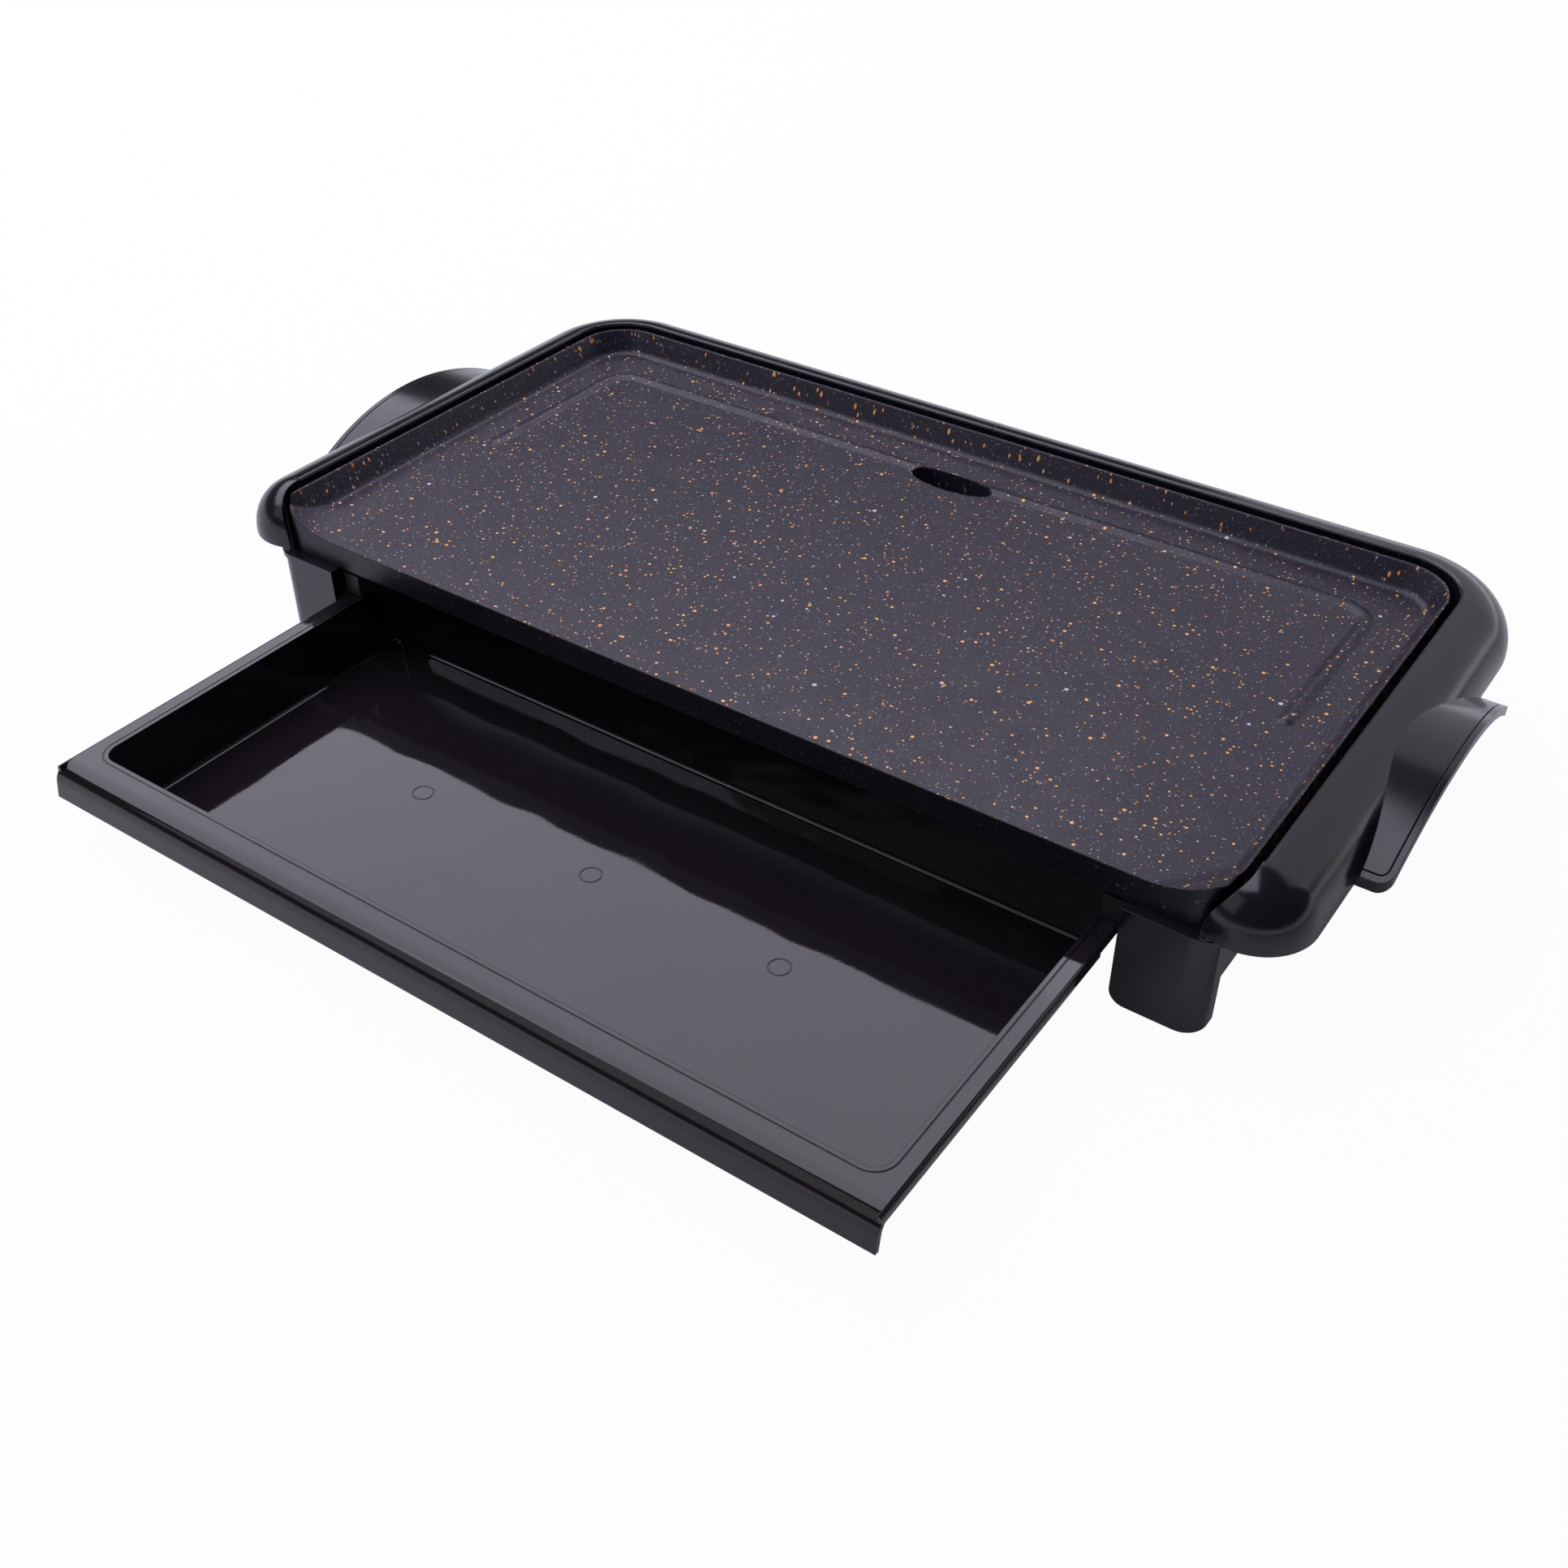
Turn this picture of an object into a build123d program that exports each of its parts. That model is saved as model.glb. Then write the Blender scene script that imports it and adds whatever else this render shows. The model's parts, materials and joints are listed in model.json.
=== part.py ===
from build123d import *
from math import radians, tan
import os

# An electric table grill: a cast non-stick plate on a two-part moulded base, with a wide tray drawer
# under it at the front and a small grease cup at the back. X runs along the plate, Y to the back, Z up.
# The origin is on the table, under the middle of the whole outline with the drawer pulled out.
# Sizes are in millimetres.

# Plate casting
plate_length = 500.0
plate_depth = 260.5
plate_corner = 26.0
front_corner = 14.0
plate_floor = 4.0
apron_wall = 3.2
apron_height = 12.8
rim_height = 12.0
rim_land = 1.2
rim_draft = 25.8
dish_fillet = 4.0
corner_rise_width = 36.0
corner_rise_depth = 36.5
corner_rise_radius = 34.0
blend_sink = 0.05
bead_width = 10.0
bead_height = 1.3
bead_corner = 14.0
bead_side_inset = 29.0
bead_back_inset = 31.5
bead_leg = 102.0
drain_length = 46.0
drain_width = 17.0
drain_inset = 36.0
spout_wall = 2.2
spout_drop = 11.5
spout_play = 1.0

# Base mouldings
plate_gap = 4.0
band_width = 25.5
band_height = 25.0
band_rise = 2.0
band_land = 1.5
band_radius = band_width - band_land
seam_gap = 0.3
wall = 2.6
deck_thickness = 2.7
seat_gap = 0.2
front_step = 5.5
leg_width = 38.0
leg_depth = 15.0
leg_corner = 10.0
leg_toe = 7.0
skirt_height = 23.6
deck_corner = 15.0
deck_side = 50.0
deck_back = 60.0
deck_height = 49.3

# Handles
handle_length = 145.0
handle_start = 66.0
handle_reach = 13.0
handle_bulge = 1.0
handle_rise = 21.0
handle_step = 1.0
handle_skin = 2.2
handle_border = 3.0
handle_groove = 0.5
handle_round = 6.0
cover_skin = 2.0

# Drawer and runners
drawer_travel = 164.0
lip_flare = 3.5
lip_height = 15.2
lip_round = 9.5
tray_height = 35.2
tray_floor = 4.5
tray_wall = 2.0
tray_draft = 8.3
tray_depth = 174.3
tray_side_flange = 10.0
tray_front_flange = 15.2
tray_back_flange = 9.0
tray_corner = 8.0
tray_fillet = 2.5
tray_line_inset = 2.0
tray_line_width = 0.5
tray_line_depth = 0.3
flange_skin = 2.2
side_lip_drop = 4.2
side_lip_skin = 2.0
side_lip_length = 154.3
flange_round = 2.0
drawer_gap = 1.5
runner_gap = 0.3
runner_skin = 2.2
runner_web_gap = 0.8
runner_inset = 7.0
runner_rib_width = 9.8
runner_ledge = 7.1
ledge_skin = 2.2
mark_radius = 5.0
mark_depth = 0.2
mark_line = 0.5
mark_pitch = 98.0

# Grease cup
cup_length = 88.0
cup_depth = 56.0
cup_height = 18.5
cup_wall = 1.8
cup_flange = 5.0
cup_corner = 8.0
cup_pull = 10.0
cup_drop = 5.7
cup_face_margin = 4.0
cup_play = 1.0
rail_skin = 2.2

# Heating and inlet
element_radius = 3.25
element_play = 0.15
element_side = 60.0
element_front = 64.0
element_back = 62.0
element_bend = 12.0
rail_width = 13.0
rail_root = 1.0
pin_radius = 3.0
pin_pitch = 36.0
pin_length = 23.0
inlet_side = 78.0
inlet_width = 83.0
inlet_height = 22.4
inlet_depth = 21.8
inlet_wall = 2.2
inlet_inset = 1.8
inlet_gap = 0.3
ear_length = 8.0
ear_height = 10.0
collar_radius = 4.8
collar_length = 5.5
collar_step = 1.2
sleeve_radius = 4.2
sleeve_bore = 3.2
sleeve_length = 86.4
shield_skin = 0.8
shield_lap = 12.0
shield_inset = 4.0
shield_dish = 6.3
shield_corner = 15.0

# Fasteners and feet
plate_screw_radius = 2.0
screw_head_radius = 4.0
screw_head_height = 2.2
spacer_radius = 5.5
boss_radius = 6.0
boss_clearance = 3.2
boss_thread = 6.0
boss_hole_end = 1.0
plate_screw_side = 25.0
plate_screw_end = 28.0
screw_play = 0.1
tapping_radius = 1.5
tapping_head_radius = 3.0
tapping_head_height = 1.8
tapping_depth = 7.0
tapping_boss_radius = 3.5
tapping_boss_length = 2.6
runner_screw_end = 22.0
bracket_length = 68.0
bracket_width = 18.0
bracket_skin = 2.5
bracket_margin = 2.0
foot_length = 24.0
foot_width = 9.0
foot_thickness = 3.0
foot_proud = 1.0
foot_round = 3.0

# Levels above the table
deck_low = deck_height - deck_thickness
apron_low = deck_height + seat_gap
grill_top = apron_low + apron_height
plate_under = grill_top - plate_floor
rim_top = grill_top + rim_height
band_top = rim_top + band_rise
band_low = band_top - band_height
skirt_low = deck_low - skirt_height
leg_low = foot_proud
element_z = plate_under - element_radius - element_play
flange_low = tray_height - flange_skin
ledge_top = flange_low - runner_gap
rib_low = tray_height + runner_gap
cup_top = deck_low - cup_drop

# Places along X and Y
band_corner = plate_corner + plate_gap
base_depth = band_width + plate_gap + plate_depth + front_step
outline_depth = base_depth + drawer_travel + lip_flare
band_back = outline_depth / 2
wall_back = band_back - band_width
plate_back = wall_back - plate_gap
plate_front = plate_back - plate_depth
leg_front = plate_front - front_step
wall_side = plate_length / 2 + plate_gap
skirt_side = plate_length / 2
nose_y = leg_front + band_width
leg_inner = skirt_side - leg_width
flange_side = leg_inner - drawer_gap
opening_side = flange_side - tray_side_flange
flange_front = leg_front - drawer_travel
opening_front = flange_front + tray_front_flange
opening_back = opening_front + tray_depth
flange_back = opening_back + tray_back_flange
deck_inner = skirt_side - deck_side
deck_rear_edge = plate_back - deck_back
drain_y = plate_back - drain_inset
handle_front = leg_front + handle_start
handle_mid = handle_front + handle_length / 2
handle_side = wall_side + band_width + handle_reach
web_inner = flange_side + runner_web_gap
runner_front = leg_front + runner_inset
web_front = leg_front + leg_depth + runner_gap
runner_back = flange_back + drawer_travel + runner_gap + runner_skin
element_x = skirt_side - element_side
front_run_y = plate_front + element_front
back_run_y = plate_back - element_back
inlet_x = skirt_side - inlet_side
pin_low_x = inlet_x - pin_pitch / 2
pin_high_x = inlet_x + pin_pitch / 2
pin_start = plate_back - apron_wall
inlet_front = wall_back - inlet_inset
cup_back = plate_back + runner_gap
cup_front = cup_back - cup_depth
leg_middle_x = leg_inner + leg_width / 2
foot_front_y = leg_front + leg_depth / 2
foot_back_y = plate_back - leg_depth / 2
plate_screw_x = skirt_side - plate_screw_side
plate_screw_rows = [plate_front + plate_screw_end, plate_back - plate_screw_end]
plate_screw_places = [(side * plate_screw_x, y) for side in (-1, 1) for y in plate_screw_rows]
runner_screw_x = web_inner - runner_rib_width / 2
runner_screw_pitch = (runner_back - web_front) / 2 - runner_screw_end
runner_screw_rows = [web_front + runner_screw_end + runner_screw_pitch * i for i in (0, 1, 2)]
runner_screw_places = [(side * runner_screw_x, y) for side in (-1, 1) for y in runner_screw_rows]
bracket_y = plate_back - apron_wall - bracket_width / 2 - bracket_margin
bracket_screw_places = [(step * bracket_length / 4, bracket_y) for step in (-1.5, -0.5, 0.5, 1.5)]
rail_x = cup_length / 2 + cup_flange + runner_gap
rail_top = cup_top - cup_wall - runner_gap


def plate_plan(grow):
    """Top view of the plate, grown or shrunk all round. Its front corners are tighter than the back ones."""
    with BuildSketch(mode=Mode.PRIVATE) as plan:
        with Locations((0, (plate_front + plate_back) / 2)):
            Rectangle(plate_length + 2 * grow, plate_depth + 2 * grow)
        fillet(plan.vertices().group_by(Axis.Y)[0], front_corner + grow)
        fillet(plan.vertices().group_by(Axis.Y)[-1], plate_corner + grow)
    return plan.sketch


# Moulded base

def band_outline():
    """Outer shape of the band's section, with the wall that goes down to the deck."""
    with BuildSketch(mode=Mode.PRIVATE) as outline:
        with BuildLine():
            Line((0, deck_low), (0, band_top - band_land))
            RadiusArc((0, band_top - band_land), (band_land, band_top), band_land)
            RadiusArc((band_land, band_top), (band_width, band_top - band_radius), band_radius)
            Polyline(
                (band_width, band_top - band_radius),
                (band_width, band_low),
                (wall, band_low),
                (wall, deck_low),
                (0, deck_low),
            )
        make_face()
    return outline.sketch


def band_hollow(inner):
    """Open inside of the band's section, outside the wall that ends at inner."""
    room_radius = band_radius - wall
    with BuildSketch(mode=Mode.PRIVATE) as room:
        with Locations((band_land, band_top - band_radius)):
            Circle(room_radius)
            Rectangle(2 * room_radius, room_radius, align=(Align.CENTER, Align.MAX))
        with Locations((inner, band_low)):
            Rectangle(band_width, band_height, align=(Align.MIN, Align.MIN), mode=Mode.INTERSECT)
    return room.sketch


nose_axis = Axis((wall_side, nose_y, 0), (0, 0, -1))
arm_plane = Plane(origin=(wall_side, nose_y, 0), x_dir=(1, 0, 0), z_dir=(0, -1, 0))

with BuildPart() as nose_room:
    with BuildSketch(arm_plane):
        add(band_hollow(0))
    revolve(axis=nose_axis, revolution_arc=180)
    with BuildSketch():
        add(plate_plan(plate_gap + wall))
    extrude(amount=2 * band_top, mode=Mode.SUBTRACT)

with BuildPart() as nose:
    with BuildSketch(arm_plane):
        add(band_outline())
    revolve(axis=nose_axis, revolution_arc=180)
    add(nose_room.part, mode=Mode.SUBTRACT)
    with BuildSketch(Plane.XY.offset(deck_low)):
        with Locations((wall_side, nose_y)):
            Circle(band_width)
            Rectangle(2 * band_width, band_width, align=(Align.CENTER, Align.MIN), mode=Mode.SUBTRACT)
        add(plate_plan(plate_gap + wall), mode=Mode.INTERSECT)
    extrude(amount=band_low - deck_low)
    with BuildSketch():
        add(plate_plan(plate_gap))
    extrude(amount=2 * band_top, mode=Mode.SUBTRACT)

with BuildPart() as band:
    with BuildLine() as band_path:
        FilletPolyline((wall_side, nose_y), (wall_side, wall_back), (0, wall_back), radius=band_corner)
    with BuildSketch(arm_plane):
        add(band_outline())
        add(band_hollow(wall), mode=Mode.SUBTRACT)
    sweep(path=band_path.line)
    add(nose.part)

with BuildPart() as front_leg:
    with BuildSketch(Plane.XZ.offset(-leg_front)) as leg_face:
        with Locations((leg_inner, leg_low)):
            Rectangle(leg_width, deck_height - leg_low, align=(Align.MIN, Align.MIN))
        fillet(leg_face.vertices().group_by(Axis.Z)[0].sort_by(Axis.X)[0], leg_toe)
    extrude(amount=-leg_depth)
    fillet(front_leg.edges().filter_by(Axis.Z).group_by(Axis.X)[-1].sort_by(Axis.Y)[0], leg_corner)
    with BuildSketch(Plane.XY.offset(leg_low + wall + foot_thickness - foot_proud)) as leg_room:
        with Locations((leg_inner + wall, leg_front + wall)):
            Rectangle(leg_width - 2 * wall, leg_depth, align=(Align.MIN, Align.MIN))
        fillet(leg_room.vertices().group_by(Axis.Y)[0].sort_by(Axis.X)[-1], leg_corner - wall)
    extrude(until=Until.LAST, mode=Mode.SUBTRACT)
    with BuildSketch(Plane.XY.offset(leg_low)):
        with Locations((leg_middle_x, foot_front_y)):
            RectangleRounded(foot_length + seat_gap, foot_width + seat_gap, foot_round)
    extrude(amount=foot_thickness - foot_proud, mode=Mode.SUBTRACT)

arch_radius = (handle_length**2 / 4 + handle_rise**2) / (2 * handle_rise)
arch_low = band_low + handle_step
arch_top = arch_low + handle_rise
arch_centre = (handle_mid, arch_top - arch_radius)
reach_x = 2 * band_width


def arch_layer(top_offset, low_offset, start=0.0, length=handle_length):
    """Side view of one curved layer of the handle, between two depths under its top."""
    with BuildSketch(Plane.YZ.offset(wall_side), mode=Mode.PRIVATE) as layer:
        with Locations(arch_centre):
            Circle(arch_radius - top_offset)
            Circle(arch_radius - low_offset, mode=Mode.SUBTRACT)
        with Locations((handle_front + start, arch_low - 3 * abs(low_offset))):
            Rectangle(length, 2 * band_top, align=(Align.MIN, Align.MIN), mode=Mode.INTERSECT)
    return layer.sketch


def handle_plan(inset):
    """Top view of the handle, from the band's wall to its bowed outer edge."""
    outer = handle_side - inset
    front = handle_front + inset
    back = handle_front + handle_length
    with BuildSketch(Plane.XY, mode=Mode.PRIVATE) as plan:
        with BuildLine():
            Polyline(
                (outer - handle_bulge, front),
                (wall_side + wall / 2, front),
                (wall_side + wall / 2, back),
                (outer - handle_bulge, back),
            )
            ThreePointArc((outer - handle_bulge, back), (outer, handle_mid), (outer - handle_bulge, front))
        make_face()
        fillet(plan.vertices().group_by(Axis.Y)[0].sort_by(Axis.X)[-1], handle_round - inset)
    return plan.sketch


with BuildPart() as handle_shelf:
    extrude(arch_layer(0, handle_skin), amount=reach_x)
    extrude(handle_plan(handle_border), amount=2 * band_top, mode=Mode.INTERSECT)

with BuildPart() as cover_pocket:
    extrude(arch_layer(-band_width, handle_skin), amount=reach_x)
    extrude(handle_plan(handle_border - handle_groove), amount=2 * band_top, mode=Mode.INTERSECT)

with BuildPart() as handle_room:
    extrude(arch_layer(handle_skin / 2, band_height), amount=reach_x)
    extrude(arch_layer(-runner_gap, band_height, -runner_gap, handle_border), amount=reach_x)
    Box(2 * (wall_side + wall), 4 * band_back, 2 * band_top, mode=Mode.SUBTRACT)

with BuildPart() as base_half:
    add(band.part)
    add(handle_room.part, mode=Mode.SUBTRACT)
    add(handle_shelf.part)
    with BuildSketch(Plane.XY.offset(deck_low)) as deck:
        with Locations((0, leg_front)):
            Rectangle(wall_side + wall / 2, wall_back + wall / 2 - leg_front, align=(Align.MIN, Align.MIN))
        fillet(deck.vertices().group_by(Axis.Y)[-1].sort_by(Axis.X)[-1], band_corner + wall / 2)
        fillet(deck.vertices().group_by(Axis.Y)[0].sort_by(Axis.X)[-1], deck_corner)
        with Locations((0, leg_front)):
            Rectangle(leg_inner, web_front - leg_front, align=(Align.MIN, Align.MIN), mode=Mode.SUBTRACT)
            Rectangle(deck_inner, deck_rear_edge - leg_front, align=(Align.MIN, Align.MIN), mode=Mode.SUBTRACT)
    extrude(amount=deck_thickness)
    with BuildSketch(Plane.XY.offset(skirt_low)) as skirt:
        with Locations((0, foot_front_y)):
            Rectangle(skirt_side, plate_back - foot_front_y, align=(Align.MIN, Align.MIN))
        fillet(skirt.vertices().group_by(Axis.Y)[-1].sort_by(Axis.X)[-1], leg_corner)
        with BuildSketch(mode=Mode.SUBTRACT) as skirt_room:
            with Locations((0, foot_front_y)):
                Rectangle(skirt_side - wall, plate_back - wall - foot_front_y, align=(Align.MIN, Align.MIN))
            fillet(skirt_room.vertices().group_by(Axis.Y)[-1].sort_by(Axis.X)[-1], leg_corner - wall)
    extrude(amount=skirt_height)
    add(front_leg.part)
    mirror(front_leg.part, about=Plane.XZ.offset(-(leg_front + plate_back) / 2))
    with BuildSketch(Plane.XZ.offset(-deck_rear_edge)):
        with Locations((rail_x, deck_low)):
            Rectangle(rail_skin, cup_drop + cup_wall + runner_gap + rail_skin, align=(Align.MIN, Align.MAX))
        with Locations((rail_x + rail_skin, rail_top)):
            Rectangle(rail_skin + cup_flange - cup_play, rail_skin, align=(Align.MAX, Align.MAX))
    extrude(amount=-(deck_back - wall / 2))
    with Locations([(x, y, deck_low) for x, y in bracket_screw_places if x > 0]):
        Cylinder(tapping_boss_radius, tapping_boss_length, align=(Align.CENTER, Align.CENTER, Align.MAX))
    with Locations([(x, y, deck_height) for x, y in bracket_screw_places if x > 0]):
        Cylinder(tapping_radius + screw_play, 2 * tapping_depth, mode=Mode.SUBTRACT)
    with BuildSketch(Plane.XY.offset(deck_height)):
        with Locations((0, drain_y)):
            Ellipse(drain_length / 2 + spout_wall + spout_play, drain_width / 2 + spout_wall + spout_play)
    extrude(amount=-deck_thickness, mode=Mode.SUBTRACT)
    Box(seam_gap, 4 * band_back, 4 * band_top, mode=Mode.SUBTRACT)
    with Locations([(plate_screw_x, y, deck_height) for y in plate_screw_rows]):
        Cylinder(plate_screw_radius + screw_play, 4 * deck_thickness, mode=Mode.SUBTRACT)
    with Locations([(runner_screw_x, y, deck_height) for y in runner_screw_rows]):
        Cylinder(tapping_radius + screw_play, 4 * deck_thickness, mode=Mode.SUBTRACT)


with BuildPart() as cup_notch:
    with BuildSketch(Plane.XY.offset(skirt_low - wall)):
        with Locations((0, plate_back)):
            Rectangle(cup_length + 2 * cup_flange + 2 * runner_gap, 4 * wall)
    extrude(amount=cup_top - skirt_low + wall + runner_gap)

with BuildPart() as base_left:
    mirror(base_half.part, about=Plane.YZ)
    add(cup_notch.part, mode=Mode.SUBTRACT)

inlet_low = element_z - inlet_height / 2
with BuildPart() as base_right:
    add(base_half.part)
    add(cup_notch.part, mode=Mode.SUBTRACT)
    with BuildSketch(Plane.XY.offset(inlet_low - inlet_gap)):
        with Locations((inlet_x, inlet_front - inlet_gap)):
            Rectangle(inlet_width + 2 * inlet_gap, 2 * band_width, align=(Align.CENTER, Align.MIN))
    extrude(amount=inlet_height + 2 * inlet_gap, mode=Mode.SUBTRACT)

with BuildPart() as handle_cover_right:
    extrude(arch_layer(0, handle_skin + cover_skin), amount=reach_x)
    extrude(handle_plan(0), amount=2 * band_top, mode=Mode.INTERSECT)
    add(cover_pocket.part, mode=Mode.SUBTRACT)
    Box(2 * (wall_side + wall + runner_gap), 4 * band_back, 4 * band_top, mode=Mode.SUBTRACT)

with BuildPart() as handle_cover_left:
    mirror(handle_cover_right.part, about=Plane.YZ)

# Plate casting

rim_slope = rim_land + rim_height * tan(radians(rim_draft))

with BuildPart() as dish:
    with BuildSketch(Plane.XY.offset(grill_top)) as dish_floor:
        with Locations((0, plate_back - rim_slope)):
            Rectangle(plate_length - 2 * rim_slope, plate_depth, align=(Align.CENTER, Align.MAX))
        fillet(dish_floor.vertices().group_by(Axis.Y)[-1], plate_corner - rim_slope)
    extrude(amount=rim_height + band_rise, taper=-rim_draft)
    fillet(dish.faces().sort_by(Axis.Z)[0].edges(), dish_fillet)

# The rim turns the front corners and runs out along the front edge in a hollow curve.
rise_along = Vector(corner_rise_width - rim_slope, corner_rise_depth).normalized()
rise_plane = Plane(
    origin=(skirt_side - corner_rise_width, plate_front, grill_top - blend_sink),
    x_dir=(rise_along.Y, -rise_along.X, 0),
    z_dir=-rise_along,
)

with BuildPart() as corner_rise:
    with BuildSketch(rise_plane):
        with Locations((0, -plate_floor / 2)):
            Rectangle(corner_rise_radius, rim_height + plate_floor / 2, align=(Align.MIN, Align.MIN))
        with Locations((0, corner_rise_radius)):
            Circle(corner_rise_radius, mode=Mode.SUBTRACT)
    extrude(amount=-2 * corner_rise_width)
    with BuildSketch(Plane.XY.offset(plate_under)):
        add(plate_plan(0))
    extrude(amount=rim_top - plate_under, mode=Mode.INTERSECT)

bead_x = skirt_side - bead_side_inset
bead_back = plate_back - bead_back_inset
bead_end = bead_back - bead_leg
bead_plane = Plane(origin=(-bead_x, bead_end, grill_top - blend_sink), x_dir=(1, 0, 0), z_dir=(0, -1, 0))


def bead_half():
    """Half of the bead's section, hollow at the foot and round at the top."""
    foot = bead_width / 2
    with BuildSketch(mode=Mode.PRIVATE) as half:
        with BuildLine():
            top_arc = TangentArc((0, bead_height), (foot / 2, bead_height / 2), tangent=(1, 0))
            TangentArc((foot / 2, bead_height / 2), (foot, 0), tangent=top_arc % 1)
            Polyline((foot, 0), (foot, -plate_floor / 2), (0, -plate_floor / 2), (0, bead_height))
        make_face()
    return half.sketch


with BuildPart() as bead_run_out:
    with BuildSketch(bead_plane):
        add(bead_half())
    revolve(axis=Axis((-bead_x, bead_end, 0), (0, 0, 1)))

with BuildPart() as bead:
    with BuildLine() as bead_path:
        FilletPolyline(
            (-bead_x, bead_end),
            (-bead_x, bead_back),
            (bead_x, bead_back),
            (bead_x, bead_end),
            radius=bead_corner,
        )
    with BuildSketch(bead_plane):
        add(bead_half())
        mirror(bead_half(), about=Plane.YZ)
    sweep(path=bead_path.line)
    add(bead_run_out.part)
    mirror(bead_run_out.part, about=Plane.YZ)


def element_wire():
    """Path of the heating tube, one loop with both ends at the inlet."""
    with BuildLine(mode=Mode.PRIVATE) as loop:
        FilletPolyline(
            (pin_low_x, pin_start, element_z),
            (pin_low_x, back_run_y, element_z),
            (-element_x, back_run_y, element_z),
            (-element_x, front_run_y, element_z),
            (pin_high_x, front_run_y, element_z),
            (pin_high_x, pin_start, element_z),
            radius=element_bend,
        )
    return loop.line


element_start = Plane(origin=(pin_low_x, pin_start, element_z), x_dir=(1, 0, 0), z_dir=(0, -1, 0))

with BuildPart() as heating_element:
    with BuildSketch(element_start):
        Circle(element_radius)
    sweep(path=element_wire())

with BuildPart() as element_groove:
    with BuildSketch(element_start):
        with Locations((0, -element_radius)):
            Rectangle(
                2 * (element_radius + element_play),
                2 * element_radius + element_play,
                align=(Align.CENTER, Align.MIN),
            )
    sweep(path=element_wire())

with BuildPart() as element_rail:
    with BuildSketch(element_start):
        Rectangle(rail_width, plate_under - element_z + rail_root, align=(Align.CENTER, Align.MIN))
    sweep(path=element_wire())

with BuildPart() as griddle_plate:
    with BuildSketch(Plane.XY.offset(apron_low)):
        add(plate_plan(0))
    extrude(amount=rim_top - apron_low)
    add(dish.part, mode=Mode.SUBTRACT)
    add(corner_rise.part)
    mirror(corner_rise.part, about=Plane.YZ)
    with BuildSketch(Plane.XY.offset(apron_low)):
        add(plate_plan(-apron_wall))
    extrude(amount=plate_under - apron_low, mode=Mode.SUBTRACT)
    add(bead.part)
    add(element_rail.part)
    with Locations([(x, y, plate_under) for x, y in plate_screw_places]):
        Cylinder(boss_radius, plate_under - deck_height - boss_clearance,
                 align=(Align.CENTER, Align.CENTER, Align.MAX))
    with BuildSketch(Plane.XY.offset(plate_under)):
        with Locations((0, drain_y)):
            Ellipse(drain_length / 2 + spout_wall, drain_width / 2 + spout_wall)
    extrude(amount=-spout_drop)
    with BuildSketch(Plane.XY.offset(element_z)):
        with Locations((inlet_x, inlet_front - sleeve_length)):
            Rectangle(rail_width, sleeve_length - plate_gap, align=(Align.CENTER, Align.MIN))
    extrude(amount=plate_under - element_z)
    with BuildSketch(Plane.XY.offset(apron_low)):
        with Locations((inlet_x, plate_back)):
            Rectangle(pin_pitch + 4 * collar_radius, 4 * apron_wall)
    extrude(amount=plate_under - apron_low, mode=Mode.SUBTRACT)
    add(element_groove.part, mode=Mode.SUBTRACT)
    with BuildSketch(Plane.XZ.offset(-wall_back)):
        with Locations((inlet_x, element_z)):
            Circle(sleeve_radius + element_play)
    extrude(amount=sleeve_length + plate_gap, mode=Mode.SUBTRACT)
    with BuildSketch(Plane.XY.offset(rim_top)):
        with Locations((0, drain_y)):
            Ellipse(drain_length / 2, drain_width / 2)
    extrude(amount=-2 * rim_height - spout_drop, mode=Mode.SUBTRACT)
    with Locations([(x, y, deck_height) for x, y in plate_screw_places]):
        Cylinder(plate_screw_radius + screw_play, boss_clearance + boss_thread + boss_hole_end,
                 align=(Align.CENTER, Align.CENTER, Align.MIN), mode=Mode.SUBTRACT)


# Heating parts and the inlet

inlet_mid = (inlet_x, element_z)
pin_places = [(x, element_z) for x in (pin_low_x, pin_high_x)]

with BuildPart() as terminal_pins:
    with BuildSketch(Plane.XZ.offset(-pin_start)):
        with Locations(pin_places):
            Circle(pin_radius)
    extrude(amount=-pin_length)
    chamfer(terminal_pins.faces().sort_by(Axis.Y)[-2:].edges(), pin_radius / 4)

with BuildPart() as pin_collars:
    with BuildSketch(Plane.XZ.offset(-(inlet_front - collar_step))):
        with Locations(pin_places):
            Circle(collar_radius)
            Circle(pin_radius + screw_play, mode=Mode.SUBTRACT)
    extrude(amount=-collar_length)

with BuildPart() as probe_sleeve:
    with BuildSketch(Plane.XZ.offset(-(inlet_front + inlet_wall))):
        with Locations(inlet_mid):
            Circle(sleeve_radius)
            Circle(sleeve_bore, mode=Mode.SUBTRACT)
    extrude(amount=sleeve_length)

with BuildPart() as inlet_shroud:
    with BuildSketch(Plane.XZ.offset(-inlet_front)):
        with Locations(inlet_mid):
            RectangleRounded(inlet_width, inlet_height, inlet_wall)
    extrude(amount=-inlet_depth)
    with BuildSketch(Plane.XZ.offset(-(inlet_front + inlet_wall))):
        with Locations(inlet_mid):
            RectangleRounded(inlet_width - 2 * inlet_wall, inlet_height - 2 * inlet_wall, inlet_wall)
    extrude(amount=-inlet_depth, mode=Mode.SUBTRACT)
    with BuildSketch(Plane.XZ.offset(-(wall_back + wall))):
        with Locations(inlet_mid):
            Rectangle(inlet_width + 2 * ear_length, ear_height)
            Rectangle(inlet_width - 2 * inlet_wall, inlet_height, mode=Mode.SUBTRACT)
    extrude(amount=-inlet_wall)
    with BuildSketch(Plane.XZ.offset(-inlet_front)):
        with Locations(pin_places):
            Circle(collar_radius + screw_play)
        with Locations(inlet_mid):
            Circle(sleeve_radius + screw_play)
    extrude(amount=-inlet_wall, mode=Mode.SUBTRACT)

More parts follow.
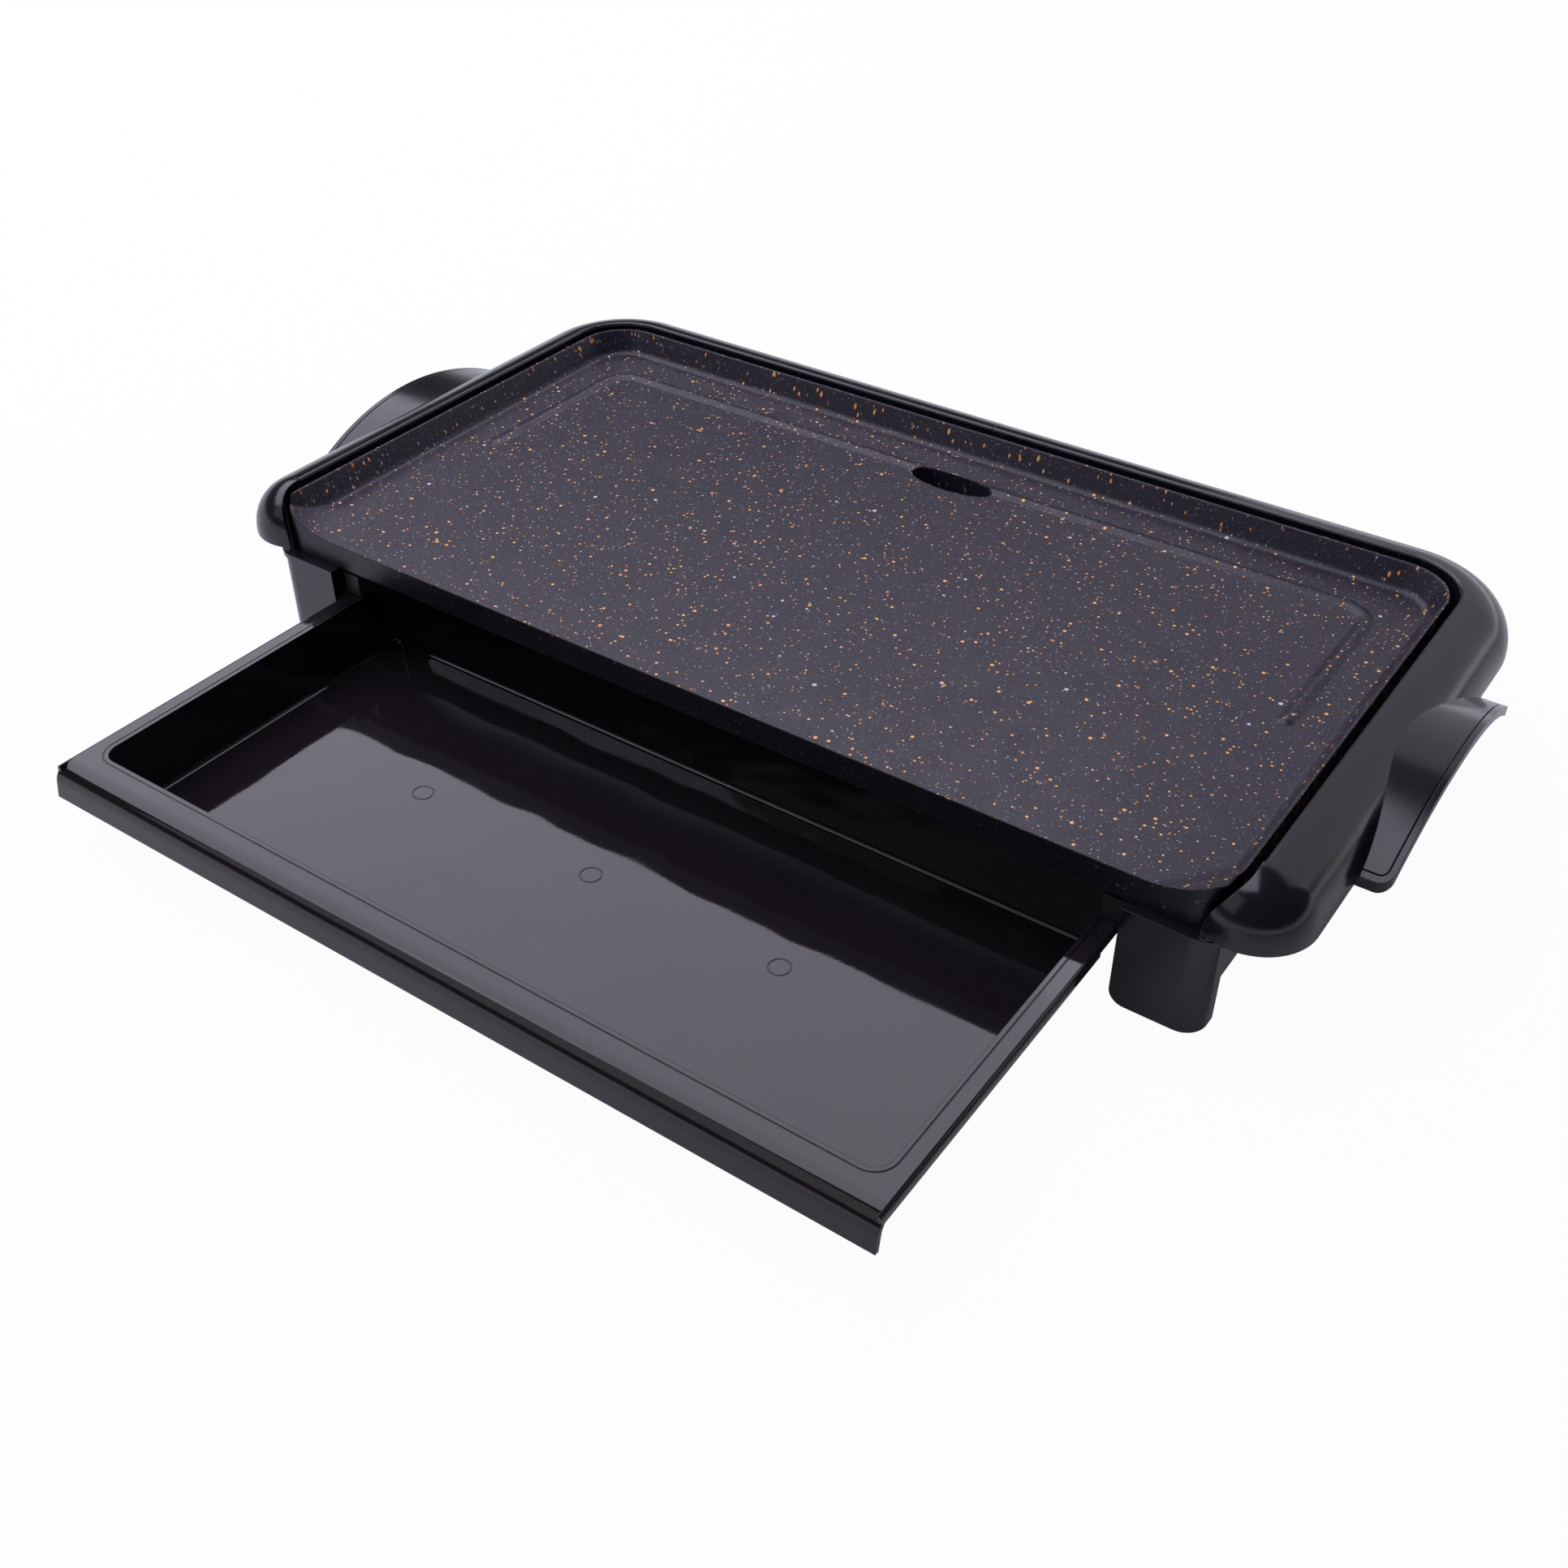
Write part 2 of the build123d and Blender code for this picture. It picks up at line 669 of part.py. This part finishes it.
shield_side = deck_inner + shield_lap
shield_front = web_front - wall
shield_back = deck_rear_edge + shield_lap

with BuildPart() as heat_shield:
    with BuildSketch(Plane.XY.offset(deck_height)):
        with Locations((0, shield_front)):
            Rectangle(2 * shield_side, shield_back - shield_front, align=(Align.CENTER, Align.MIN))
    extrude(amount=shield_skin)
    dish_side = deck_inner - shield_inset
    dish_front = shield_front + shield_inset
    dish_back = deck_rear_edge - shield_inset
    with BuildSketch(Plane.XY.offset(deck_height)):
        with Locations((0, (dish_front + dish_back) / 2)):
            RectangleRounded(2 * dish_side, dish_back - dish_front, shield_corner)
    extrude(amount=-shield_dish)
    with BuildSketch(Plane.XY.offset(deck_height + shield_skin)):
        with Locations((0, (dish_front + dish_back) / 2)):
            RectangleRounded(
                2 * (dish_side - shield_skin),
                dish_back - dish_front - 2 * shield_skin,
                shield_corner - shield_skin,
            )
    extrude(amount=-shield_dish, mode=Mode.SUBTRACT)
    with Locations([(x, y, deck_height) for x, y in runner_screw_places]):
        Cylinder(tapping_radius + screw_play, 4 * shield_skin, mode=Mode.SUBTRACT)

# Drawer and runners

tray_mid = (0, (opening_front + opening_back) / 2)
opening_length = 2 * opening_side

with BuildPart() as basin:
    with BuildSketch(Plane.XY.offset(tray_height)):
        with Locations(tray_mid):
            RectangleRounded(
                opening_length + 2 * tray_wall, tray_depth + 2 * tray_wall, tray_corner + tray_wall
            )
    extrude(amount=-(tray_height - tray_floor + tray_wall), taper=tray_draft)
    fillet(basin.faces().sort_by(Axis.Z)[0].edges(), tray_fillet + tray_wall)

with BuildPart() as basin_inside:
    with BuildSketch(Plane.XY.offset(tray_height)):
        with Locations(tray_mid):
            RectangleRounded(opening_length, tray_depth, tray_corner)
    extrude(amount=-(tray_height - tray_floor), taper=tray_draft)
    fillet(basin_inside.faces().sort_by(Axis.Z)[0].edges(), tray_fillet)

with BuildPart() as front_lip:
    with BuildSketch(Plane.YZ.offset(-flange_side)):
        with BuildLine():
            FilletPolyline(
                (opening_front - tray_wall, tray_height),
                (flange_front - lip_flare / 4, tray_height),
                (flange_front - lip_flare, tray_height - lip_height),
                radius=lip_round,
            )
            offset(amount=flange_skin, side=Side.LEFT, closed=True, mode=Mode.REPLACE)
        make_face()
    extrude(amount=2 * flange_side)

with BuildPart() as drawer_tray:
    add(basin.part)
    with BuildSketch(Plane.XY.offset(flange_low)):
        with Locations((0, opening_front - tray_wall)):
            Rectangle(2 * flange_side, flange_back - opening_front + tray_wall, align=(Align.CENTER, Align.MIN))
    extrude(amount=flange_skin)
    add(front_lip.part)
    with BuildSketch(Plane.XY.offset(tray_height - side_lip_drop)):
        with Locations((-flange_side, flange_front)):
            Rectangle(side_lip_skin, side_lip_length, align=(Align.MIN, Align.MIN))
        with Locations((flange_side, flange_front)):
            Rectangle(side_lip_skin, side_lip_length, align=(Align.MAX, Align.MIN))
    extrude(amount=side_lip_drop)
    add(basin_inside.part, mode=Mode.SUBTRACT)
    with BuildSketch(Plane.XY.offset(tray_floor)):
        with Locations([(i * mark_pitch, tray_mid[1]) for i in (-1, 0, 1)]):
            Circle(mark_radius)
            Circle(mark_radius - mark_line, mode=Mode.SUBTRACT)
    extrude(amount=-mark_depth, mode=Mode.SUBTRACT)
    line_inside = 2 * tray_line_inset
    line_outside = line_inside + 2 * tray_line_width
    with BuildSketch(Plane.XY.offset(tray_height)):
        with Locations(tray_mid):
            RectangleRounded(
                opening_length + line_outside, tray_depth + line_outside, tray_corner + line_outside / 2
            )
            RectangleRounded(
                opening_length + line_inside,
                tray_depth + line_inside,
                tray_corner + line_inside / 2,
                mode=Mode.SUBTRACT,
            )
    extrude(amount=-tray_line_depth, mode=Mode.SUBTRACT)
    flange_edges = drawer_tray.edges().filter_by(Axis.Y).group_by(Axis.Z)[-1].sort_by(Axis.X)
    fillet([flange_edges[0], flange_edges[-1]], flange_round)

with BuildPart() as runner_right:
    with BuildSketch(Plane.XZ.offset(-runner_front)):
        with Locations((web_inner, rib_low)):
            Rectangle(runner_rib_width, deck_low - rib_low, align=(Align.MAX, Align.MIN))
    extrude(amount=runner_front - runner_back)
    with BuildSketch(Plane.XZ.offset(-web_front)):
        with Locations((web_inner, ledge_top - 2 * ledge_skin)):
            Rectangle(runner_skin, deck_low - ledge_top + 2 * ledge_skin, align=(Align.MIN, Align.MIN))
            Rectangle(runner_ledge, 2 * ledge_skin, align=(Align.MAX, Align.MIN))
        with Locations((web_inner, ledge_top)):
            Rectangle(
                web_inner - flange_side + side_lip_skin + runner_gap * 2,
                side_lip_drop - flange_skin + runner_gap / 3,
                align=(Align.MAX, Align.MAX),
                mode=Mode.SUBTRACT,
            )
    extrude(amount=web_front - runner_back)
    pocket_fronts = [runner_front + runner_skin] + [y + tapping_head_radius for y in runner_screw_rows]
    pocket_backs = [y - tapping_head_radius for y in runner_screw_rows] + [runner_back - runner_skin]
    for front, back in zip(pocket_fronts, pocket_backs):
        with Locations((web_inner - runner_skin, front, deck_low)):
            Box(
                runner_rib_width - 2 * runner_skin,
                back - front,
                deck_low - rib_low - runner_skin,
                align=(Align.MAX, Align.MIN, Align.MAX),
                mode=Mode.SUBTRACT,
            )
    with Locations([(runner_screw_x, y, deck_low) for y in runner_screw_rows]):
        Cylinder(tapping_radius + screw_play, tapping_depth,
                 align=(Align.CENTER, Align.CENTER, Align.MAX), mode=Mode.SUBTRACT)
    with Locations((web_inner, runner_back, ledge_top)):
        Box(runner_ledge, runner_skin, rib_low - ledge_top, align=(Align.MAX, Align.MAX, Align.MIN))

with BuildPart() as runner_left:
    mirror(runner_right.part, about=Plane.YZ)

# Grease cup

cup_floor = cup_top - cup_height
cup_mid_y = (cup_front + cup_back) / 2

with BuildPart() as grease_cup:
    with BuildSketch(Plane.XY.offset(cup_floor)):
        with Locations((0, cup_mid_y)):
            RectangleRounded(cup_length, cup_depth, cup_corner)
    extrude(amount=cup_height)
    fillet(grease_cup.faces().sort_by(Axis.Z)[0].edges(), cup_corner / 3)
    with BuildSketch(Plane.XY.offset(cup_top - cup_wall)):
        with Locations((0, cup_mid_y)):
            Rectangle(cup_length + 2 * cup_flange, cup_depth)
    extrude(amount=cup_wall)
    with BuildSketch(Plane.XZ.offset(-cup_back)):
        with Locations((0, (cup_floor + cup_top) / 2)):
            RectangleRounded(
                cup_length + 2 * cup_flange + 2 * cup_face_margin, cup_height + cup_face_margin, cup_face_margin
            )
    extrude(amount=-cup_wall)
    with BuildSketch(Plane.XY.offset(cup_floor)):
        with Locations((0, cup_back)):
            SlotOverall(cup_length / 2, 2 * cup_pull)
        with Locations((0, cup_back)):
            Rectangle(cup_length, 2 * cup_pull, align=(Align.CENTER, Align.MAX), mode=Mode.SUBTRACT)
    extrude(amount=cup_wall)
    with BuildSketch(Plane.XY.offset(cup_floor + cup_wall)):
        with Locations((0, cup_mid_y)):
            RectangleRounded(cup_length - 2 * cup_wall, cup_depth - 2 * cup_wall, cup_corner - cup_wall)
    extrude(amount=cup_height, mode=Mode.SUBTRACT)

# Fasteners, spacers and feet

def screw(radius, length, head_radius, head_height):
    """Hexagon-headed screw that points down from the plane z = 0."""
    with BuildPart(mode=Mode.PRIVATE) as body:
        Cylinder(radius, length, align=(Align.CENTER, Align.CENTER, Align.MAX))
        with BuildSketch():
            RegularPolygon(head_radius, 6)
        extrude(amount=head_height)
    return body.part


plate_screw = screw(plate_screw_radius, deck_thickness + boss_clearance + boss_thread, screw_head_radius,
                    screw_head_height)
tapping_screw = screw(tapping_radius, tapping_depth, tapping_head_radius, tapping_head_height)

with BuildPart() as plate_screws:
    with Locations([Location((x, y, deck_low), (180, 0, 0)) for x, y in plate_screw_places]):
        add(plate_screw)

with BuildPart() as plate_spacers:
    with BuildSketch(Plane.XY.offset(deck_height)):
        with Locations(plate_screw_places):
            Circle(spacer_radius)
            Circle(plate_screw_radius + screw_play, mode=Mode.SUBTRACT)
    extrude(amount=boss_clearance)

with BuildPart() as runner_screws:
    with Locations([Location((x, y, deck_height + shield_skin)) for x, y in runner_screw_places]):
        add(tapping_screw)

with BuildPart() as seam_bracket:
    with BuildSketch(Plane.XY.offset(deck_height)):
        with Locations((0, bracket_y)):
            RectangleRounded(bracket_length, bracket_width, bracket_skin)
        with Locations(bracket_screw_places):
            Circle(tapping_radius + screw_play, mode=Mode.SUBTRACT)
    extrude(amount=bracket_skin)

with BuildPart() as seam_screws:
    with Locations([Location((x, y, deck_height + bracket_skin)) for x, y in bracket_screw_places]):
        add(tapping_screw)

feet_places = {
    "foot_front_left": (-leg_middle_x, foot_front_y),
    "foot_front_right": (leg_middle_x, foot_front_y),
    "foot_back_left": (-leg_middle_x, foot_back_y),
    "foot_back_right": (leg_middle_x, foot_back_y),
}
feet = {}
for foot_name, place in feet_places.items():
    with BuildPart() as foot:
        with BuildSketch():
            with Locations(place):
                RectangleRounded(foot_length, foot_width, foot_round)
        extrude(amount=foot_thickness)
    feet[foot_name] = foot.part

pieces = {
    "griddle_plate": griddle_plate.part,
    "heating_element": heating_element.part,
    "terminal_pins": terminal_pins.part,
    "pin_collars": pin_collars.part,
    "probe_sleeve": probe_sleeve.part,
    "inlet_shroud": inlet_shroud.part,
    "heat_shield": heat_shield.part,
    "base_left": base_left.part,
    "base_right": base_right.part,
    "handle_cover_left": handle_cover_left.part,
    "handle_cover_right": handle_cover_right.part,
    "runner_left": runner_left.part,
    "runner_right": runner_right.part,
    "drawer_tray": drawer_tray.part,
    "grease_cup": grease_cup.part,
    "plate_screws": plate_screws.part,
    "plate_spacers": plate_spacers.part,
    "runner_screws": runner_screws.part,
    "seam_bracket": seam_bracket.part,
    "seam_screws": seam_screws.part,
}
pieces.update(feet)
os.makedirs("parts", exist_ok=True)
for piece_name, piece in pieces.items():
    piece.label = piece_name
    export_step(piece, "parts/" + piece_name + ".step")
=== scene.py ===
import json
import math

import bpy
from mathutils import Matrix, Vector

# A table grill with its drawer pulled out, on a white studio floor. Lengths are in metres.

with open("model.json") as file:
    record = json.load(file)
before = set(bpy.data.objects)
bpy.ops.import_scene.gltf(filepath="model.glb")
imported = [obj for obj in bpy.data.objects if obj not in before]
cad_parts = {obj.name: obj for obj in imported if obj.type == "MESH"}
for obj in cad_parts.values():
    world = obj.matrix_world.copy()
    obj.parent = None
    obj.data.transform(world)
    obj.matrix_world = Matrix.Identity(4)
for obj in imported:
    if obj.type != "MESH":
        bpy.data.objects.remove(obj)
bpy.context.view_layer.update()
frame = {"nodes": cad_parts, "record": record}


class NodeKit:
    """Short calls that add nodes to one node tree."""

    def __init__(self, tree):
        self.tree = tree

    def node(self, kind, **settings):
        node = self.tree.nodes.new(kind)
        for name, value in settings.items():
            setattr(node, name, value)
        return node

    def put(self, value, socket):
        """Links an output to a socket, or sets the socket to a number or a colour."""
        if isinstance(value, bpy.types.NodeSocket):
            self.tree.links.new(value, socket)
        else:
            socket.default_value = value

    def maths(self, operation, first, second=0.0):
        node = self.node("ShaderNodeMath", operation=operation)
        self.put(first, node.inputs[0])
        self.put(second, node.inputs[1])
        return node.outputs[0]

    def spread(self, value, low, high, start=0.3, end=0.7, curve="LINEAR"):
        """Maps start to end of a value onto low to high."""
        node = self.node("ShaderNodeMapRange", clamp=True, interpolation_type=curve)
        for socket, number in zip(node.inputs, (value, start, end, low, high)):
            self.put(number, socket)
        return node.outputs[0]

    def mix(self, factor, first, second):
        """Blends two colours."""
        node = self.node("ShaderNodeMix", data_type="RGBA")
        colours = [socket for socket in node.inputs if socket.type == "RGBA"]
        self.put(factor, node.inputs[0])
        self.put(first, colours[0])
        self.put(second, colours[1])
        return next(socket for socket in node.outputs if socket.type == "RGBA")

    def component(self, vector, axis):
        """One component of a vector: 0 for X, 1 for Y, 2 for Z."""
        node = self.node("ShaderNodeSeparateXYZ")
        self.put(vector, node.inputs[0])
        return node.outputs[axis]

    def ray_kinds(self):
        """Two switches: 1 for rays straight from the camera, and 1 for mirrored and refracted rays."""
        path = self.node("ShaderNodeLightPath")
        mirrored = self.maths("MAXIMUM", path.outputs["Is Glossy Ray"], path.outputs["Is Transmission Ray"])
        return path.outputs["Is Camera Ray"], mirrored


class Shader(NodeKit):
    """A node material round one Principled shader, whose normal is rounded at the edges."""

    def __init__(self, name, colour, roughness, metallic=0.0, edge_round=0.0005, specular=0.5):
        self.material = bpy.data.materials.new(name)
        self.material.use_nodes = True
        super().__init__(self.material.node_tree)
        self.inputs = self.tree.nodes["Principled BSDF"].inputs
        self.inputs["Base Color"].default_value = (*colour, 1.0)
        self.inputs["Roughness"].default_value = roughness
        self.inputs["Metallic"].default_value = metallic
        self.inputs["Specular IOR Level"].default_value = specular
        self.place = self.node("ShaderNodeTexCoord").outputs["Object"]
        rounded = self.node("ShaderNodeBevel", samples=4)
        rounded.inputs["Radius"].default_value = edge_round
        self.put(rounded.outputs[0], self.inputs["Normal"])

    def stretched(self, scale):
        """The place on the surface, scaled by its own factor along each axis."""
        node = self.node("ShaderNodeVectorMath", operation="MULTIPLY")
        self.put(self.place, node.inputs[0])
        self.put(scale, node.inputs[1])
        return node.outputs[0]

    def noise(self, scale, detail=3.0, place=None):
        node = self.node("ShaderNodeTexNoise")
        self.put(place or self.place, node.inputs["Vector"])
        node.inputs["Scale"].default_value = scale
        node.inputs["Detail"].default_value = detail
        return node.outputs["Fac"]

    def vary_colour(self, pattern, colour, factor):
        """Lets the base colour wander between a colour and a multiple of it."""
        shade = tuple(channel * factor for channel in colour)
        self.put(self.mix(pattern, (*colour, 1.0), (*shade, 1.0)), self.inputs["Base Color"])

    def vary_roughness(self, pattern, low, high):
        self.put(self.spread(pattern, low, high), self.inputs["Roughness"])

    def bump(self, height, distance, strength=1.0):
        """Adds bumps on top of whatever already bends the normal."""
        node = self.node("ShaderNodeBump")
        node.inputs["Distance"].default_value = distance
        node.inputs["Strength"].default_value = strength
        self.put(height, node.inputs["Height"])
        self.put(self.inputs["Normal"].links[0].from_socket, node.inputs["Normal"])
        self.put(node.outputs[0], self.inputs["Normal"])

    def specks(self, place, scale, radius):
        """Round spots of mixed sizes: 1 inside a spot, 0 outside."""
        cells = self.node("ShaderNodeTexVoronoi")
        self.put(place, cells.inputs["Vector"])
        cells.inputs["Scale"].default_value = scale
        parts = self.node("ShaderNodeSeparateColor")
        self.put(cells.outputs["Color"], parts.inputs[0])
        edge = self.maths("MULTIPLY", self.spread(parts.outputs[0], 0.45, 1.0, 0.0, 1.0), radius)
        core = self.maths("MULTIPLY", edge, 0.8)
        return self.spread(cells.outputs["Distance"], 0.0, 1.0, edge, core)


# Finishes

cream = (1.0, 0.60, 0.20)
amber = (0.70, 0.27, 0.05)
pale = (0.62, 0.60, 0.78)
dust = (0.24, 0.22, 0.29)
fleck_shine = 0.25

# Each layer of specks: cells per metre, spot radius in cells, colour of the rim and the core, metallic part
speck_layers = (
    (600.0, 0.20, dust, dust, 0.0),
    (310.0, 0.17, dust, pale, 0.0),
    (275.0, 0.20, amber, cream, fleck_shine),
    (65.0, 0.08, pale, pale, 0.0),
    (150.0, 0.17, amber, cream, fleck_shine),
)
speck_core = 0.66
run_length = 4.0
steepest_flat = 0.7
apron_back = -0.045
apron_fade = 0.88


def nonstick_coating():
    """Dark coating with sprayed specks. They run downwards on the rim's steep faces and fade on the apron."""
    shader = Shader("nonstick_coating", (0.02, 0.018, 0.03), 0.42, edge_round=0.0011, specular=0.36)
    facing = shader.component(shader.node("ShaderNodeNewGeometry").outputs["True Normal"], 2)
    steep = shader.maths("LESS_THAN", shader.maths("ABSOLUTE", facing), steepest_flat)
    behind_apron = shader.maths("GREATER_THAN", shader.component(shader.place, 1), apron_back)
    on_rim = shader.maths("MULTIPLY", steep, behind_apron)
    on_apron = shader.maths("MULTIPLY", shader.maths("SUBTRACT", steep, on_rim), apron_fade)
    squeeze = shader.node("ShaderNodeCombineXYZ")
    squeeze.inputs[0].default_value = 1.0
    squeeze.inputs[1].default_value = 1.0
    shader.put(shader.spread(on_rim, 1.0, 1.0 / run_length, 0.0, 1.0), squeeze.inputs[2])
    place = shader.stretched(squeeze.outputs[0])

    colour = shader.mix(shader.noise(9.0), (0.014, 0.012, 0.022, 1.0), (0.020, 0.017, 0.030, 1.0))
    grain = shader.spread(shader.noise(1300.0, 2.0), 0.0, 0.5, 0.5, 0.75)
    colour = shader.mix(grain, colour, (0.10, 0.09, 0.13, 1.0))
    flakes = 0.0
    for scale, radius, rim, core, shine in speck_layers:
        core_spots = shader.specks(place, scale, radius * speck_core)
        colour = shader.mix(shader.specks(place, scale, radius), colour, (*rim, 1.0))
        colour = shader.mix(core_spots, colour, (*core, 1.0))
        if shine:
            flakes = shader.maths("MAXIMUM", flakes, shader.maths("MULTIPLY", core_spots, shine))
    colour = shader.mix(on_apron, colour, (0.006, 0.005, 0.009, 1.0))
    flakes = shader.maths("MULTIPLY", flakes, shader.maths("SUBTRACT", 1.0, on_apron))
    shader.put(flakes, shader.inputs["Metallic"])
    shader.put(colour, shader.inputs["Base Color"])
    shader.vary_roughness(shader.noise(60.0), 0.32, 0.43)
    shader.bump(shader.noise(1100.0, 4.0), 0.00008, 0.6)
    shader.bump(shader.noise(55.0, 2.0), 0.00012, 0.5)
    return shader.material


def polished_plastic(name, colour, roughness, waviness):
    """Glossy moulded plastic: slow waves from shrinkage and a fine haze."""
    shader = Shader(name, colour, roughness)
    shader.vary_roughness(shader.noise(35.0, 5.0), roughness * 0.8, roughness * 1.3)
    shader.vary_colour(shader.noise(12.0), colour, 1.5)
    shader.bump(shader.noise(22.0, 1.0), waviness)
    shader.bump(shader.noise(700.0, 2.0), 0.000004)
    return shader.material


def matt_plastic(name, colour, roughness, grain):
    """Moulded plastic with a fine spark-eroded grain."""
    shader = Shader(name, colour, roughness)
    shader.vary_colour(shader.noise(40.0, 4.0), colour, 1.6)
    shader.vary_roughness(shader.noise(90.0), roughness - 0.06, roughness + 0.08)
    shader.bump(shader.noise(1500.0, 3.0), grain, 0.7)
    return shader.material


def rolled_metal(name, colour, roughness, stretch, tarnish):
    """Metal with rolling or drawing lines along one axis and a slight tarnish."""
    shader = Shader(name, colour, roughness, metallic=1.0)
    lines = shader.noise(1.0, 4.0, shader.stretched(stretch))
    shader.vary_colour(shader.noise(30.0, 5.0), colour, tarnish)
    shader.vary_roughness(lines, roughness - 0.08, roughness + 0.1)
    shader.bump(lines, 0.00002, 0.5)
    return shader.material


finishes = {
    "nonstick_coating": nonstick_coating(),
    "gloss_black": polished_plastic("gloss_black", (0.008, 0.008, 0.012), 0.15, 0.0003),
    "drawer_black": polished_plastic("drawer_black", (0.010, 0.008, 0.010), 0.05, 0.0005),
    "satin_black": matt_plastic("satin_black", (0.018, 0.018, 0.021), 0.42, 0.00003),
    "heatproof_black": matt_plastic("heatproof_black", (0.016, 0.016, 0.017), 0.55, 0.00005),
    "rubber": matt_plastic("rubber", (0.014, 0.014, 0.014), 0.8, 0.00006),
    "ceramic": matt_plastic("ceramic", (0.62, 0.60, 0.55), 0.7, 0.00004),
    "sheet_steel": rolled_metal("sheet_steel", (0.34, 0.34, 0.35), 0.42, (15.0, 1400.0, 1400.0), 0.85),
    "element_sheath": rolled_metal("element_sheath", (0.24, 0.23, 0.22), 0.5, (300.0, 300.0, 900.0), 0.6),
    "pin_steel": rolled_metal("pin_steel", (0.62, 0.62, 0.63), 0.25, (900.0, 40.0, 900.0), 0.9),
    "screw_steel": rolled_metal("screw_steel", (0.52, 0.52, 0.5), 0.35, (600.0, 600.0, 90.0), 0.8),
    "brass": rolled_metal("brass", (0.72, 0.53, 0.25), 0.3, (900.0, 30.0, 900.0), 0.8),
}

for subpart in frame["record"]["subparts"]:
    node = frame["nodes"][subpart["node"]]
    for material_slot in node.material_slots:
        material_slot.material = finishes[subpart["material_slot"]]


# Studio: the floor, two softboxes behind and above, a weak one in front, and the backdrop

floor_half = 12.0
floor_drop = 0.0002
floor_white = 0.96
# Painted light and painted shadow in reflections of the floor: white at the left, fading to dark at the
# right, in place of the grill's shadow.
floor_painted_light_left, floor_painted_shadow_right = 1.0, 0.08
painted_shadow_fade_start, painted_shadow_fade_end = -0.32, 0.3


def white_floor():
    """White to the camera, with a soft shadow. In reflections it has painted light at the left, fading to a
    painted shadow at the right.
    """
    shader = Shader("studio_floor", (0.86, 0.86, 0.87), 0.9, specular=0.1)
    shader.vary_roughness(shader.noise(3.0), 0.84, 0.9)
    direct, mirrored = shader.ray_kinds()
    # Painted shadow: the floor's brightness in reflections falls from the left end to the right end.
    mirror_level = shader.spread(
        shader.component(shader.place, 0),
        floor_painted_light_left,
        floor_painted_shadow_right,
        painted_shadow_fade_start,
        painted_shadow_fade_end,
    )
    seen = shader.maths("MULTIPLY", direct, floor_white)
    seen = shader.maths("ADD", seen, shader.maths("MULTIPLY", mirrored, mirror_level))
    glow = shader.node("ShaderNodeEmission")
    glow.inputs["Strength"].default_value = 1.0
    shader.put(shader.mix(mirrored, (1.0, 1.0, 1.0, 1.0), (0.84, 0.86, 1.0, 1.0)), glow.inputs["Color"])
    blend = shader.node("ShaderNodeMixShader")
    shader.put(seen, blend.inputs[0])
    shader.put(shader.tree.nodes["Principled BSDF"].outputs[0], blend.inputs[1])
    shader.put(glow.outputs[0], blend.inputs[2])
    shader.put(blend.outputs[0], shader.tree.nodes["Material Output"].inputs["Surface"])
    return shader.material


floor_mesh = bpy.data.meshes.new("studio_floor")
corners = [(x * floor_half, y * floor_half, -floor_drop) for x, y in ((-1, -1), (1, -1), (1, 1), (-1, 1))]
floor_mesh.from_pydata(corners, [], [(0, 1, 2, 3)])
floor_mesh.materials.append(white_floor())
floor = bpy.data.objects.new("studio_floor", floor_mesh)
bpy.context.collection.objects.link(floor)


def softbox(name, place, width, height, radiance, tint, turn=None):
    """Area light that faces the grill or, with a turn about the vertical in degrees, straight down."""
    data = bpy.data.lights.new(name, "AREA")
    data.shape = "RECTANGLE"
    data.size = width
    data.size_y = height
    data.energy = radiance * math.pi * width * height
    data.color = tint
    light = bpy.data.objects.new(name, data)
    light.location = place
    if turn is None:
        light.rotation_euler = Vector(place).to_track_quat("Z", "Y").to_euler()
    else:
        light.rotation_euler = (0.0, 0.0, math.radians(turn))
    bpy.context.collection.objects.link(light)


# The ceiling panel is turned so that its right edge leaves the back of the band dark.
softbox("ceiling_softbox", (-1.376, 0.413, 1.6), 2.7, 2.8, 2.6, (0.89, 0.86, 1.0), turn=20.0)
softbox("back_softbox", (0.535, 1.865, 1.03), 2.35, 2.0, 0.7, (0.90, 0.86, 1.0))
softbox("front_softbox", (-0.84, -1.46, 1.41), 1.5, 1.3, 0.6, (0.98, 0.92, 1.0))

backdrop_colour = (0.95, 0.96, 1.0, 1.0)
ambient_level = 0.04
horizon_level, zenith_level = 0.9, 0.05
horizon_top, zenith_start = 0.08, 0.20


def studio_world():
    """White backdrop. In reflections it is white only near the horizon, below a dim grey ceiling."""
    world = bpy.data.worlds.new("studio")
    bpy.context.scene.world = world
    world.use_nodes = True
    kit = NodeKit(world.node_tree)
    background = kit.tree.nodes["Background"].inputs
    background["Color"].default_value = backdrop_colour
    rise = kit.component(kit.node("ShaderNodeTexCoord").outputs["Generated"], 2)
    mirror_level = kit.spread(rise, horizon_level, zenith_level, horizon_top, zenith_start, "SMOOTHSTEP")
    direct, mirrored = kit.ray_kinds()
    level = kit.spread(mirrored, ambient_level, mirror_level, 0.0, 1.0)
    kit.put(kit.spread(direct, level, 1.0, 0.0, 1.0), background["Strength"])


studio_world()

# Camera, fitted to the straight edges of the grill in the photograph
camera_data = bpy.data.cameras.new("camera")
camera_data.sensor_fit = "HORIZONTAL"
camera_data.sensor_width = 36.0
camera_data.lens = 40.58
camera = bpy.data.objects.new("camera", camera_data)
camera.location = (0.393, -0.5436, 0.4964)
camera.rotation_euler = (math.radians(52.04), 0.0, math.radians(35.03))
bpy.context.collection.objects.link(camera)
bpy.context.scene.camera = camera
bpy.context.scene.view_settings.view_transform = "Standard"
